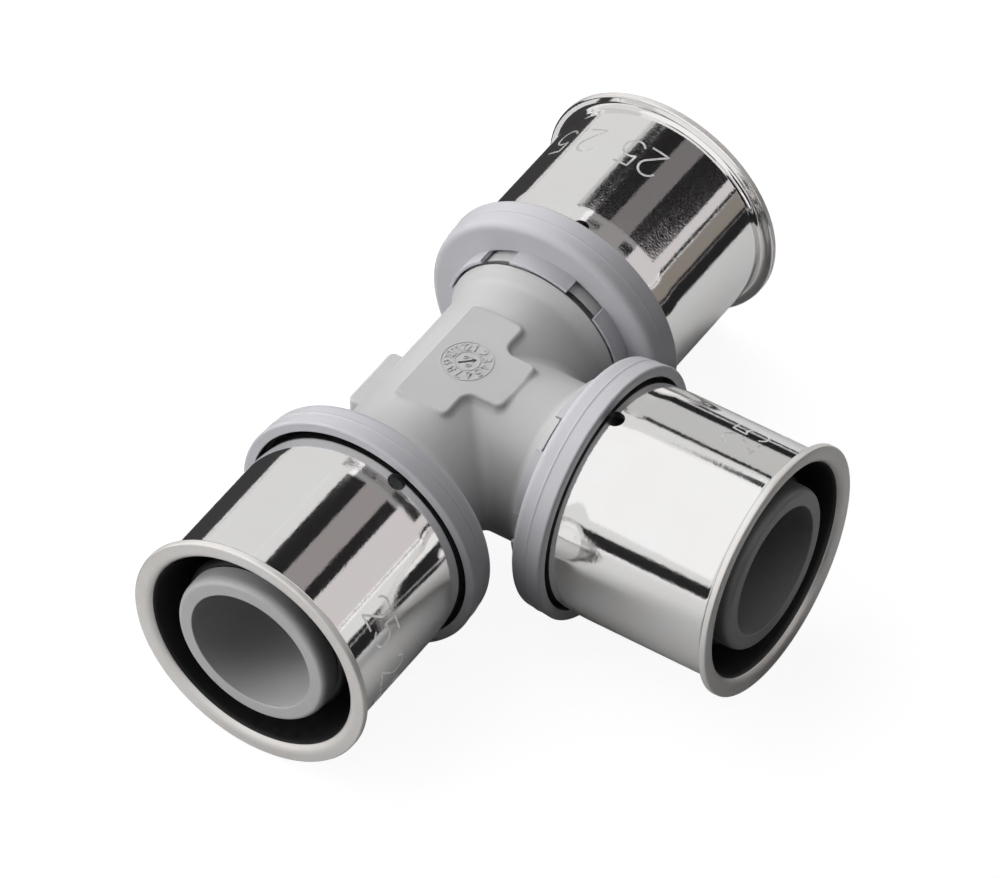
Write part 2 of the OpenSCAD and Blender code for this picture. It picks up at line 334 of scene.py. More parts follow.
def mouldedPlastic(name, light, dark, roughness, grain, p=plasticSizes):
    material, nodes, links, shader = newMaterial(name)
    cloud = noiseNode(nodes, links, p["cloudScale"])
    colour = mixColours(nodes, links, rangeNode(nodes, links, cloud), dark, light)
    links.new(colour, shader.inputs["Base Color"])
    speck = noiseNode(nodes, links, p["speckScale"], p["speckDetail"])
    rough = rangeNode(nodes, links, speck, roughness - p["smoother"], roughness + p["rougher"])
    links.new(rough, shader.inputs["Roughness"])
    links.new(bumpNode(nodes, links, speck, grain, p["speckDepth"]), shader.inputs["Normal"])
    return material


steelSizes = {
    "cloudScale": 210.0,
    "warmth": (1.0, 0.98, 0.965),  # of the warmer patches
    "waveScale": 260.0,
    "waveDetail": 1.5,
    "waveDepth": 0.00006,  # m
    "grainScale": 3800.0,
    "grainDepth": 0.00001,  # m
    "smoothest": 0.8,  # shares of the given roughness
    "roughest": 1.35,
}


def drawnSteel(name, tint, roughness, wave, grain, metallic=1.0, p=steelSizes):
    material, nodes, links, shader = newMaterial(name)
    shader.inputs["Metallic"].default_value = metallic
    cloud = noiseNode(nodes, links, p["cloudScale"])
    warm = tuple(c * f for c, f in zip(tint, p["warmth"]))
    colour = mixColours(nodes, links, rangeNode(nodes, links, cloud), warm, tint)
    links.new(colour, shader.inputs["Base Color"])
    fine = noiseNode(nodes, links, p["grainScale"])
    rough = rangeNode(nodes, links, fine, roughness * p["smoothest"], roughness * p["roughest"])
    links.new(rough, shader.inputs["Roughness"])
    slow = noiseNode(nodes, links, p["waveScale"], p["waveDetail"])
    waves = bumpNode(nodes, links, slow, wave, p["waveDepth"])
    both = bumpNode(nodes, links, fine, grain, p["grainDepth"], waves)
    links.new(both, shader.inputs["Normal"])
    return material


flatSizes = {
    "cloudScale": 900.0,
    "darkest": 0.6,  # share of the given colour
    "spread": 0.06,  # of the roughness, both ways
}


# a flat colour with a faint random spread, for real colours such as rubber and for painted shade
def plainFinish(name, colour, roughness, metallic=0.0, p=flatSizes):
    material, nodes, links, shader = newMaterial(name)
    cloud = noiseNode(nodes, links, p["cloudScale"])
    darker = tuple(c * p["darkest"] for c in colour)
    shade = mixColours(nodes, links, rangeNode(nodes, links, cloud), darker, colour)
    links.new(shade, shader.inputs["Base Color"])
    rough = rangeNode(nodes, links, cloud, roughness - p["spread"], roughness + p["spread"])
    links.new(rough, shader.inputs["Roughness"])
    shader.inputs["Metallic"].default_value = metallic
    return material


bodyPlastic = mouldedPlastic("bodyPlastic", (0.44, 0.44, 0.441), (0.41, 0.41, 0.413), 0.42, 0.35)
ringPlastic = mouldedPlastic("ringPlastic", (0.45, 0.45, 0.475), (0.42, 0.42, 0.446), 0.4, 0.3)
sleeveSteel = drawnSteel("sleeveSteel", (0.87, 0.87, 0.868), 0.06, 0.15, 0.4)
rimSteel = drawnSteel("rimSteel", (0.70, 0.688, 0.672), 0.36, 0.2, 0.8, 0.55)
# painted shade: near-black for the inside of each sleeve, where the gap round the spigot lies in deep
# shade
paintedInnerShade = plainFinish("paintedInnerShade", (0.012, 0.012, 0.012), 0.55)
sealRubber = plainFinish("sealRubber", (0.01, 0.01, 0.01), 0.5)
# painted shade: dark for the groove between each ring and its sleeve
recessShade = plainFinish("recessShade", (0.03, 0.03, 0.032), 0.6)
# painted shade: dark for the arrow slot of the date dial
slotShade = plainFinish("slotShade", (0.05, 0.05, 0.05), 0.7)
markSteel = plainFinish("markSteel", (0.95, 0.95, 0.94), 0.6, 1.0)
print("materials made")


# body: the middle is a field of distances in mm, so that every blend is a rolled fillet
bodySizes = {
    "boreRadius": 7.65,
    "barrelRadius": 9.55,
    "collarRadius": 10.8,
    "collarStart": 14.3,
    "neckFillet": 1.6,
    "neckSlope": 40.0,
    "crotchFillet": 1.6,
    "padHeight": 9.7,
    "padHalfLength": 7.9,
    "padBack": 3.7,
    "padFront": 3.1,
    "tongueHalfWidth": 3.7,
    "tongueEnd": 7.5,
    "padInnerFillet": 1.35,
    "padCorner": 0.8,
    "padEdge": 0.3,
    "padFoot": 0.6,
    "lugHalfWidth": 4.4,
    "lugReach": 12.2,
    "lugTop": 0.4,
    "lugHeight": 3.6,
    "lugCorner": 0.8,
    "lugEdge": 0.3,
    "lugFoot": 0.5,
    "jointStart": 13.2,  # where the turned collar starts inside the middle
    "jointMiddle": 13.8,
    "jointEnd": 14.1,
    "jointInner": 8.5,
    "jointSink": 0.004,
    "cell": 0.19,
    "margin": 0.5,  # round the box that the net fills
    "keep": 0.5,  # share of the faces that stay after thinning
}


def neckRadius(s, b=bodySizes):
    # outer radius of a barrel and its flare at the distance s from the crossing
    slope = math.radians(b["neckSlope"])
    top = b["barrelRadius"] + b["neckFillet"] * (1 - math.cos(slope))
    coneLength = (b["collarRadius"] - top) / math.tan(slope)
    bendEnd = b["collarStart"] - coneLength
    bendStart = bendEnd - b["neckFillet"] * math.sin(slope)
    t = np.clip(s - bendStart, 0, b["neckFillet"] * math.sin(slope))
    bend = b["neckFillet"] - np.sqrt(b["neckFillet"] ** 2 - t * t)
    cone = np.maximum(s - bendEnd, 0) * math.tan(slope)
    return b["barrelRadius"] + bend + cone


def roundJoin(a, b, radius, facing=0.0):
    # union with a rolled fillet; facing is the cosine between the two surfaces' normals
    u, v = radius - a, radius - b
    spread = np.maximum(1 - facing * facing, 1e-6)
    both = (u - facing * v > 0) & (v - facing * u > 0)
    rolled = radius - np.sqrt(np.maximum(u * u + v * v - 2 * facing * u * v, 0) / spread)
    return np.where(both, np.minimum(rolled, np.minimum(a, b)), np.minimum(a, b))


def roundCut(a, b, radius):
    # intersection with a rounded edge
    corner = np.hypot(np.maximum(radius + a, 0), np.maximum(radius + b, 0))
    return np.minimum(np.maximum(a, b), -radius) + corner


def roundedBox2d(x, y, lowX, lowY, highX, highY, corner):
    qx = np.abs(x - (lowX + highX) / 2) - (highX - lowX) / 2 + corner
    qy = np.abs(y - (lowY + highY) / 2) - (highY - lowY) / 2 + corner
    outside = np.hypot(np.maximum(qx, 0), np.maximum(qy, 0))
    return outside + np.minimum(np.maximum(qx, qy), 0) - corner


def bodyField(x, y, z, b=bodySizes):
    runRho, branchRho = np.hypot(y, z) + 1e-9, np.hypot(x, z) + 1e-9
    sinkRun = b["jointSink"] * (np.abs(x) > b["jointMiddle"])
    sinkBranch = b["jointSink"] * (-y > b["jointMiddle"])
    run = runRho - neckRadius(np.abs(x)) + sinkRun
    branch = np.maximum(branchRho - neckRadius(-y) + sinkBranch, y)
    facing = z * z / (runRho * branchRho)
    barrels = np.where(y < 0, roundJoin(run, branch, b["crotchFillet"], facing), np.minimum(run, branch))
    half, corner = b["padHalfLength"], b["padCorner"]
    bar = roundedBox2d(x, y, -half, -b["padFront"], half, b["padBack"], corner)
    half = b["tongueHalfWidth"]
    tongue = roundedBox2d(x, y, -half, -b["tongueEnd"], half, 0, corner)
    plan = roundJoin(bar, tongue, b["padInnerFillet"])
    foot = b["padFoot"]
    flank = foot - np.hypot(np.maximum(foot - plan, 0), np.maximum(foot - barrels, 0))
    pad = np.maximum(roundCut(flank, z - b["padHeight"], b["padEdge"]), -z)
    solid = np.minimum(barrels, pad)
    lugPlan = roundedBox2d(x, y, -b["lugHalfWidth"], 0, b["lugHalfWidth"], b["lugReach"], b["lugCorner"])
    lugMiddle = b["lugTop"] - b["lugHeight"] / 2
    lug = roundCut(lugPlan, np.abs(z - lugMiddle) - b["lugHeight"] / 2, b["lugEdge"])
    solid = roundJoin(solid, lug, b["lugFoot"])
    solid = np.maximum(solid, b["boreRadius"] - runRho)
    solid = np.maximum(solid, -np.maximum(branchRho - b["boreRadius"], y))
    ends = np.maximum(np.abs(x), -y) - b["jointEnd"]
    return np.maximum(solid, ends)


def fieldSlope(points, field, step=0.004):
    slope = np.zeros_like(points)
    for axis in range(3):
        ahead, behind = points.copy(), points.copy()
        ahead[:, axis] += step
        behind[:, axis] -= step
        slope[:, axis] = (field(*ahead.T) - field(*behind.T)) / (2 * step)
    return slope


def settle(points, field, rounds, flattest=0.2, furthest=0.2):
    # moves points onto the zero surface of the field
    for _ in range(rounds):
        slope = fieldSlope(points, field)
        size = np.maximum((slope ** 2).sum(1), flattest)
        move = field(*points.T) / size
        points = points - np.clip(move, -furthest, furthest)[:, None] * slope
    return points


def netSurface(field, low, high, cell):
    # surface nets: one point in each cell that the surface crosses
    axes = [np.arange(a, b + cell, cell) for a, b in zip(low, high)]
    grid = np.meshgrid(*axes, indexing="ij")
    values = field(*grid)
    inside = values < 0
    shape = np.array(inside.shape) - 1
    count = np.zeros(shape, np.uint8)
    corners = [(i, j, k) for i in (0, 1) for j in (0, 1) for k in (0, 1)]
    for i, j, k in corners:
        count += inside[i:i + shape[0], j:j + shape[1], k:k + shape[2]]
    cells = np.argwhere((count > 0) & (count < 8))
    number = np.full(shape, -1, int)
    number[tuple(cells.T)] = np.arange(len(cells))
    total, crossings = np.zeros((len(cells), 3)), np.zeros(len(cells))
    for start in corners:
        for axis in range(3):
            if start[axis]:
                continue
            end = list(start)
            end[axis] = 1
            a = values[tuple((cells + start).T)]
            b = values[tuple((cells + end).T)]
            crossed = (a < 0) != (b < 0)
            t = np.where(crossed, a / np.where(crossed, a - b, 1), 0)
            spot = np.array(start, float)[None, :].repeat(len(cells), 0)
            spot[:, axis] = t
            total += spot * crossed[:, None]
            crossings += crossed
    points = (cells + total / crossings[:, None]) * cell + [a[0] for a in axes]
    faces = []
    for axis in range(3):
        u, v = (axis + 1) % 3, (axis + 2) % 3
        near = [slice(None)] * 3
        far = [slice(None)] * 3
        near[axis], far[axis] = slice(0, -1), slice(1, None)
        edges = np.argwhere(inside[tuple(near)] != inside[tuple(far)])
        leaves = inside[tuple(edges.T)]
        quad = []
        for du, dv in ((-1, -1), (0, -1), (0, 0), (-1, 0)):
            around = edges.copy()
            around[:, u] += du
            around[:, v] += dv
            quad.append(number[tuple(around.T)])
        quad = np.stack(quad, 1)
        quad[~leaves] = quad[~leaves][:, ::-1]
        faces.append(quad)
    return points, np.concatenate(faces)


def middleMesh(b=bodySizes):
    reach, radius = b["jointEnd"] + b["margin"], b["collarRadius"] + b["margin"]
    high = (reach, b["lugReach"] + b["margin"], radius)
    points, faces = netSurface(bodyField, (-reach, -reach, -radius), high, b["cell"])
    points = settle(points, bodyField, rounds=4)
    carrier = looseObject("middle", meshFrom("middle", points, faces))
    thin = carrier.modifiers.new("thin", "DECIMATE")
    thin.ratio = b["keep"]
    mesh = finishedMesh(carrier)
    dropObject(carrier)
    points = np.zeros(len(mesh.vertices) * 3)
    mesh.vertices.foreach_get("co", points)
    points = settle(points.reshape(-1, 3) / mm, bodyField, rounds=3)
    mesh.vertices.foreach_set("co", (points * mm).ravel())
    slope = fieldSlope(points, bodyField)
    slope /= np.linalg.norm(slope, axis=1)[:, None] + 1e-12
    mesh.polygons.foreach_set("use_smooth", np.ones(len(mesh.polygons), bool))
    mesh.normals_split_custom_set_from_vertices(slope.tolist())
    mesh.update()
    return mesh


# spigots and collars, turned round each arm
spigotSizes = {
    "radius": 9.65,
    "sealFirst": 2.5,  # from the tip
    "sealWidth": 1.9,
    "sealDepth": 1.1,
    "sealPitch": 5.0,
    "tipLead": 1.05,
    "tipDrop": 0.65,
    "tipSteps": 8,
    "barbs": 4,
    "barbStart": 1.4,
    "barbPitch": 1.7,
    "barbRoot": 0.3,
    "barbDepth": 0.3,
    "rimLand": 0.12,
    "rimGrooveWidth": 0.7,
    "rimGrooveDepth": 1.6,
    "rimGrooveUnder": 0.9,  # how far its floor runs on under the collar
    "edge": 0.05,
    "barbEdge": 0.03,
    "collarEdge": 0.12,
    "stopEdge": 0.2,
    "stopFoot": 0.08,
    "sealFloor": 0.15,
    "boreEdge": 0.1,
    "lap": 0.01,  # where the flare leaves the middle
    "segments": 200,
}


def spigotCorners(arm, b=bodySizes, s=spigotSizes):
    tip = arms[arm]["reach"]
    stop = tip - insertDepth
    start, middle, end = b["jointStart"], b["jointMiddle"], b["jointEnd"]
    collar, radius = b["collarRadius"], s["radius"]
    groove, edge, barbEdge = b["collarStart"] + s["rimLand"], s["edge"], s["barbEdge"]
    grooveFloor = collar - s["rimGrooveDepth"]
    corners = [
        (b["jointInner"], end, 0), (b["jointInner"], start, 0),
        (float(neckRadius(start)) - b["jointSink"], start, 0),
        (float(neckRadius(middle)) - b["jointSink"], middle - s["lap"], 0),
        (float(neckRadius(middle + 2 * s["lap"])), middle + 2 * s["lap"], 0),
        (collar, b["collarStart"], s["collarEdge"]), (collar, groove, barbEdge),
        (grooveFloor, groove, edge),
        (grooveFloor, groove + s["rimGrooveWidth"] + s["rimGrooveUnder"], s["stopFoot"]),
        (collar, groove + s["rimGrooveWidth"], edge),
        (collar, stop, s["stopEdge"]), (radius, stop, s["stopFoot"]),
    ]
    for i in range(s["barbs"]):
        low = stop + s["barbStart"] + i * s["barbPitch"]
        corners += [
            (radius, low, barbEdge),
            (radius - s["barbDepth"], low + s["barbPitch"] - s["barbRoot"], edge),
            (radius - s["barbDepth"], low + s["barbPitch"], barbEdge),
        ]
    corners.append((radius, stop + s["barbStart"] + s["barbs"] * s["barbPitch"], barbEdge))
    for i in (1, 0):
        high = tip - s["sealFirst"] - i * s["sealPitch"]
        low, sealFloor = high - s["sealWidth"], radius - s["sealDepth"]
        corners += [
            (radius, low, edge), (sealFloor, low, s["sealFloor"]),
            (sealFloor, high, s["sealFloor"]), (radius, high, edge),
        ]
    for k in range(s["tipSteps"] + 1):
        a = math.radians(90 * k / s["tipSteps"])
        lead = (radius - s["tipDrop"] * (1 - math.cos(a)), tip - s["tipLead"] * (1 - math.sin(a)), 0)
        corners.append(lead)
    corners += [(b["boreRadius"], tip, s["boreEdge"]), (b["boreRadius"], end, 0)]
    return corners


def joinMeshes(name, meshes):
    # one mesh from several, with the custom normals of the first kept on its part
    carriers = [looseObject(name, mesh) for mesh in meshes]
    with bpy.context.temp_override(active_object=carriers[0], object=carriers[0],
                                   selected_objects=carriers, selected_editable_objects=carriers):
        bpy.ops.object.join()
    mesh = carriers[0].data
    bpy.data.objects.remove(carriers[0])
    return mesh


middle = middleMesh()
print("body middle:", len(middle.polygons), "faces")
pieceFrom("fittingBody", middle, bodyPlastic, "body_plastic", "tee_body")
for arm in arms:
    spigot = turnedMesh("spigot_" + arm, spigotCorners(arm), armMatrix(arm), spigotSizes["segments"])
    pieceFrom("spigot_" + arm, spigot, bodyPlastic, "body_plastic", "tee_body")
print("body made")


# retaining rings
ringSizes = {
    "ahead": 0.5,
    "width": 4.05,
    "frontRadius": 15.22,
    "backRadius": 14.85,
    "flash": 0.06,
    "flashWidth": 0.14,
    "frontRound": 0.3,
    "backRound": 0.95,
    "recessRadius": 13.95,
    "recessDepth": 1.9,
    "shadeAhead": 0.12,  # the painted shade in the recess starts this far behind the front
    "shadeMargin": 0.05,
    "hubRadius": 12.2,
    "boreRadius": 10.95,
    "reliefRadius": 11.3,
    "reliefDepth": 0.5,
    "lipInner": 11.05,
    "lipOuter": 11.45,
    "lipHeight": 2.05,
    "slots": 6,
    "slotAngle": 21.5,
    "edge": 0.1,
    "hubEdge": 0.2,
    "innerEdge": 0.05,
    "backEdge": 0.06,
    "lipFoot": 0.02,
    "lipSegments": 28,
    "lipSteps": 4,
    "lipBevel": 0.08,
    "lipBevelFrom": 50,  # degrees
    "turn": {"left": 10.0, "right": -27.0, "branch": 24.0},
}


def ringCorners(stop, r=ringSizes):
    front = stop + r["ahead"]
    back = front - r["width"]
    middle = (front + back) / 2
    parting = (r["frontRadius"] + r["backRadius"]) / 2
    recess, relief = front - r["recessDepth"], back + r["reliefDepth"]
    edge, innerEdge = r["edge"], r["innerEdge"]
    return [
        (r["reliefRadius"], back, r["backEdge"]), (r["backRadius"], back, r["backRound"]),
        (parting, middle - r["flashWidth"], 0), (parting + r["flash"], middle, innerEdge),
        (parting, middle + r["flashWidth"], 0), (r["frontRadius"], front, r["frontRound"]),
        (r["recessRadius"], front, edge), (r["recessRadius"], recess, edge),
        (r["hubRadius"], recess, edge), (r["hubRadius"], stop, r["hubEdge"]),
        (r["boreRadius"], stop, edge), (r["boreRadius"], relief, innerEdge),
        (r["reliefRadius"], relief, innerEdge),
    ]


def lipSegment(stop, r=ringSizes):
    back = stop + r["ahead"] - r["width"]
    low, high = back - r["lipHeight"], back + r["reliefDepth"]
    inner, outer = r["lipInner"], r["lipOuter"]
    span = 360 / r["slots"] - r["slotAngle"]
    corners = [
        (inner, low, r["edge"]), (outer, low, r["edge"]),
        (outer, high, r["lipFoot"]), (inner, high, r["lipFoot"]),
    ]
    return turnedMesh("lip", corners, None, r["lipSegments"], r["lipSteps"], span, r["slotAngle"] / 2)


def roundRepeatTree():
    # copies what it is given round the z axis
    tree, keys, given = geometryTree("roundRepeat", [])
    endTree(tree, given, spreadRound(tree, given, given.outputs["Geometry"]))
    return tree, keys


repeatTree, repeatKeys = roundRepeatTree()


def shadeRecess(mesh, arm, r=ringSizes):
    # painted shade: the groove between a ring and its sleeve lies in deep shade, so its faces get a dark
    # material
    mesh.materials.append(recessShade)
    outward = np.array(armMatrix(arm))[:3, 2]
    front = arms[arm]["reach"] - insertDepth + r["ahead"] - r["shadeAhead"]
    floor = front - r["recessDepth"] - r["shadeMargin"]
    inner, outer = r["hubRadius"] - 2 * r["shadeMargin"], r["recessRadius"] + r["shadeMargin"]
    for face in mesh.polygons:
        centre = np.array(face.center) / mm
        height = centre @ outward
        rho = np.linalg.norm(centre - height * outward)
        if inner < rho < outer and floor < height < front:
            face.material_index = 1


def retainingRing(arm, r=ringSizes):
    stop = arms[arm]["reach"] - insertDepth
    flange = turnedMesh("flange", ringCorners(stop), armMatrix(arm))
    segment = looseObject("segment", lipSegment(stop))
    bevel = segment.modifiers.new("soft ends", "BEVEL")
    bevel.width = r["lipBevel"] * mm
    bevel.segments = 2
    bevel.limit_method = "ANGLE"
    bevel.angle_limit = math.radians(r["lipBevelFrom"])
    lips = bakeNodes(segment, repeatTree, repeatKeys, {
        "Count": r["slots"],
        "First Turn": math.radians(r["turn"][arm]),
        "Material": ringPlastic,
    })
    dropObject(segment)
    lips.transform(armMatrix(arm))
    mesh = joinMeshes("ring", [flange, lips])
    pieceFrom("ring_" + arm, mesh, ringPlastic, "ring_plastic", "retaining_ring_" + arm)
    shadeRecess(mesh, arm)


for arm in arms:
    retainingRing(arm)
print("rings made")


# press sleeves
sleeveSizes = {
    "innerRadius": 12.7,
    "wall": 0.9,
    "mouthLip": 0.36,
    "flare": 1.3,
    "bend": 0.9,
    "rimRound": 0.22,
    "neckIn": 0.13,
    "neckLength": 3.1,
    "neckAhead": 3.7,
    "neckPoints": 15,
    "seat": 0.02,
    "holes": 3,
    "holeDiameter": 2.05,
    "holeFromStop": 1.25,
    "cutterDepth": 4.0,
    "cutterPlace": 13.15,
    "cutterSides": 48,
    "tailInner": 0.05,
    "tailOuter": 0.1,
    "segments": 288,
    "sharpFrom": 38,  # degrees
    "rimFace": 1.3,  # how far the pale rim reaches back from the mouth
    "rimLean": -0.2,  # a face that looks further back than this isn't part of it
    "innerFace": 0.12,  # how far the painted shade of the inside reaches out from the bore
    "turn": {"left": -24.6, "right": 7.0, "branch": 5.5},
}


def sleeveCorners(stop, s=sleeveSizes, r=ringSizes):
    front = stop + r["ahead"]
    tail = front - r["recessDepth"] + s["seat"]
    mouth = stop + insertDepth + s["mouthLip"]
    inner, outer = s["innerRadius"], s["innerRadius"] + s["wall"]
    neckTop = front + s["neckAhead"]
    wave = []
    for t in np.linspace(0, 1, s["neckPoints"]):
        wave.append((s["neckIn"] * t * t * (3 - 2 * t), neckTop - s["neckLength"] * t))
    rim, back = outer + s["flare"], mouth - s["wall"]
    return (
        [(inner - s["neckIn"], tail, s["tailInner"]), (outer - s["neckIn"], tail, s["tailOuter"])]
        + [(outer - d, z, 0) for d, z in reversed(wave)]
        + [(outer, back, s["bend"]), (rim, back, s["rimRound"]), (rim, mouth, s["rimRound"])]
        + [(inner, mouth, s["bend"] + s["wall"])]
        + [(inner - d, z, 0) for d, z in wave]
    )


def drillTree(s=sleeveSizes):
    # holes through a wall, spaced round the z axis
    tree, keys, given = geometryTree("drillHoles", ["Height", "Hole Radius", "Wall Radius"])
    nodes, links = tree.nodes, tree.links
    cutter = nodes.new("GeometryNodeMeshCylinder")
    cutter.inputs["Vertices"].default_value = s["cutterSides"]
    cutter.inputs["Side Segments"].default_value = 1
    cutter.inputs["Depth"].default_value = s["cutterDepth"] * mm
    lay = nodes.new("GeometryNodeTransform")
    lay.inputs["Rotation"].default_value = (0, math.radians(90), 0)
    outward = nodes.new("ShaderNodeCombineXYZ")
    cut = nodes.new("GeometryNodeMeshBoolean")
    cut.operation = "DIFFERENCE"
    cut.solver = "EXACT"
    links.new(given.outputs["Hole Radius"], cutter.inputs["Radius"])
    links.new(given.outputs["Wall Radius"], outward.inputs["X"])
    links.new(given.outputs["Height"], outward.inputs["Z"])
    links.new(outward.outputs[0], lay.inputs["Translation"])
    links.new(cutter.outputs["Mesh"], lay.inputs["Geometry"])
    links.new(given.outputs["Geometry"], cut.inputs["Mesh 1"])
    links.new(spreadRound(tree, given, lay.outputs[0]), cut.inputs["Mesh 2"])
    endTree(tree, given, cut.outputs["Mesh"])
    return tree, keys


drillingTree, drillKeys = drillTree()


def finishSleeve(mesh, mouth, s=sleeveSizes):
    # a paler rim and painted shade on the inside; the mesh still stands on its own z axis
    mesh.materials.append(rimSteel)
    mesh.materials.append(paintedInnerShade)
    inside = s["innerRadius"] + s["innerFace"]
    for face in mesh.polygons:
        centre = face.center / mm
        rho = math.hypot(centre.x, centre.y)
        if centre.z > mouth - s["rimFace"] and rho > inside and face.normal.z > s["rimLean"]:
            face.material_index = 1
        elif rho < inside:
            face.material_index = 2


def pressSleeve(arm, s=sleeveSizes):
    stop = arms[arm]["reach"] - insertDepth
    blank = looseObject("blank", turnedMesh("sleeve", sleeveCorners(stop), None, s["segments"]))
    mesh = bakeNodes(blank, drillingTree, drillKeys, {
        "Count": s["holes"],
        "First Turn": math.radians(s["turn"][arm]),
        "Height": (stop + s["holeFromStop"]) * mm,
        "Hole Radius": s["holeDiameter"] / 2 * mm,
        "Wall Radius": s["cutterPlace"] * mm,
        "Material": sleeveSteel,
    })
    dropObject(blank)
    mesh.set_sharp_from_angle(angle=math.radians(s["sharpFrom"]))
    pieceFrom("sleeve_" + arm, mesh, sleeveSteel, "sleeve_steel", "press_sleeve_" + arm)
    finishSleeve(mesh, stop + insertDepth + s["mouthLip"])
    mesh.transform(armMatrix(arm))


for arm in arms:
    pressSleeve(arm)
print("sleeves made")


# sealing rings
sealSizes = {
    "section": 1.6,
    "seat": 0.03,
    "sides": 28,
    "segments": 144,
}


def sealRing(arm, groove, s=sealSizes, g=spigotSizes):
    radius = s["section"] / 2
    centre = g["radius"] - g["sealDepth"] + s["seat"] + radius
    middle = arms[arm]["reach"] - g["sealFirst"] - groove * g["sealPitch"] - g["sealWidth"] / 2
    corners = []
    for k in range(s["sides"]):
        a = math.tau * k / s["sides"]
        corners.append((centre + radius * math.cos(a), middle + radius * math.sin(a), 0))
    mesh = turnedMesh("seal", corners, armMatrix(arm), s["segments"])
    place = "outer" if groove == 0 else "inner"
    pieceFrom(f"{place}Seal_{arm}", mesh, sealRubber, "seal_rubber", f"{place}_seal_{arm}")


for arm in arms:
    for groove in (0, 1):
        sealRing(arm, groove)
print("seals made")


# numbers drawn with thin strokes, in a cell one high
def strokeArc(x, y, rx, ry, start, end, count=14):
    angles = [math.radians(start + (end - start) * k / count) for k in range(count + 1)]
    return [(x + rx * math.cos(a), y + ry * math.sin(a)) for a in angles]


glyphs = {
    "0": [strokeArc(0.27, 0.5, 0.27, 0.5, 90, 450, 24)],
    "1": [[(0.08, 0.78), (0.3, 1.0), (0.3, 0.0)]],
    "2": [strokeArc(0.27, 0.71, 0.27, 0.29, 165, -38) + [(0.0, 0.0), (0.56, 0.0)]],
    "3": [strokeArc(0.25, 0.76, 0.24, 0.24, 150, -90), strokeArc(0.25, 0.26, 0.29, 0.26, 90, -150)],
    "4": [[(0.42, 0.0), (0.42, 1.0), (0.0, 0.3), (0.58, 0.3)]],
    "5": [[(0.52, 1.0), (0.08, 1.0), (0.04, 0.56)] + strokeArc(0.25, 0.32, 0.3, 0.32, 130, -150)],
    "6": [strokeArc(0.28, 0.3, 0.27, 0.3, 0, 360, 20), [(0.02, 0.38), (0.42, 1.0)]],
    "7": [[(0.0, 1.0), (0.55, 1.0), (0.18, 0.0)]],
    "8": [strokeArc(0.28, 0.76, 0.22, 0.24, -90, 270, 18),
          strokeArc(0.28, 0.27, 0.27, 0.27, 90, 450, 20)],
    "9": [strokeArc(0.28, 0.7, 0.27, 0.3, 0, 360, 20), [(0.54, 0.62), (0.16, 0.0)]],
    ".": [[(0.05, 0.0), (0.05, 0.07)]],
}


def strokeSolid(path, width, top, bottom, place, points, faces, step=0.3, crown=0.7):
    # one closed ribbon along a path, put on its surface by place(right, up, out);
    # its top is narrower than its foot by the share crown
    path = np.array(path, float)
    fine = [path[0]]
    for here, there in zip(path[:-1], path[1:]):
        parts = max(1, int(np.linalg.norm(there - here) / step))
        fine += [here + (there - here) * (k + 1) / parts for k in range(parts)]
    path = np.array(fine)
    along = np.gradient(path, axis=0)
    along /= np.linalg.norm(along, axis=1)[:, None] + 1e-12
    side = np.stack([-along[:, 1], along[:, 0]], 1) * width / 2
    first = len(points)
    for here, out in zip(path, side):
        for x, y, h in ((*(here - out), bottom), (*(here + out), bottom),
                        (*(here + out * crown), top), (*(here - out * crown), top)):
            points.append(place(x, y, h))
    for k in range(len(path) - 1):
        a, b = first + 4 * k, first + 4 * k + 4
        for i in range(4):
            n = (i + 1) % 4
            faces.append((a + i, b + i, b + n, a + n))
    last = first + 4 * (len(path) - 1)
    faces.append((first + 3, first + 2, first + 1, first))
    faces.append((last, last + 1, last + 2, last + 3))


def writeText(text, height, pitch, width, top, bottom, place, points, faces, point=0.45):
    # a decimal point takes the share point of a letter's pitch
    x = 0.0
    for letter in text:
        for path in glyphs[letter]:
            path = [(x + px * height, py * height) for px, py in path]
            strokeSolid(path, width, top, bottom, place, points, faces)
        x += pitch * (point if letter == "." else 1.0)


def crispMesh(name, points, faces, matrix=None, sharpFrom=30):
    mesh = meshFrom(name, points, faces, matrix)
    mesh.set_sharp_from_angle(angle=math.radians(sharpFrom))
    return mesh


markSizes = {
    "height": 4.0,
    "pitch": 2.85,
    "baseline": 16.1,  # from the stop
    "line": 0.36,
    "rise": 0.012,
    "sunk": 0.06,
    "second": 34.5,  # degrees from the first number to the second
    "turn": {"left": -54.5, "right": 16.5, "branch": -10.0},
}


def sizeMarks(arm, m=markSizes, s=sleeveSizes):
    radius = s["innerRadius"] + s["wall"]
    base = arms[arm]["reach"] - insertDepth + m["baseline"]
    points, faces = [], []
    for text, further in (("25", 0), ("2.5", m["second"])):
        start = math.radians(m["turn"][arm] - further)

        def place(right, up, out):
            angle = start - right / radius
            return ((radius + out) * math.cos(angle), (radius + out) * math.sin(angle), base - up)

        writeText(text, m["height"], m["pitch"], m["line"], m["rise"], -m["sunk"], place, points, faces)
    mesh = crispMesh("marks", points, faces, armMatrix(arm))
    pieceFrom("sizeMarks_" + arm, mesh, markSteel, "sleeve_steel")


for arm in arms:
    sizeMarks(arm)


# date dial on the pad
dialSizes = {
    "centre": (0.1, -0.66),
    "up": 37.0,  # heading of its 12, in degrees from +X
    "numberFoot": 1.62,
    "numberHeight": 1.0,
    "numberPitch": 0.52,
    "letterWidth": 0.56,  # share of the height
    "line": 0.17,
    "rise": 0.09,
    "sunk": 0.1,
    "rings": ((2.92, 0.1), (1.42, 0.09)),  # radius and line
    "ringRise": 0.7,  # share of the rise
    "arrowLength": 2.0,
    "arrowTilt": 6.0,
    "arrowShaft": 0.4,
    "arrowLine": 0.16,
    "arrowWing": (0.3, 0.42),  # aside and back
    "arrowRise": 0.012,
    "yearHeight": 0.62,
    "yearLine": 0.14,
    "yearAside": 0.62,
}


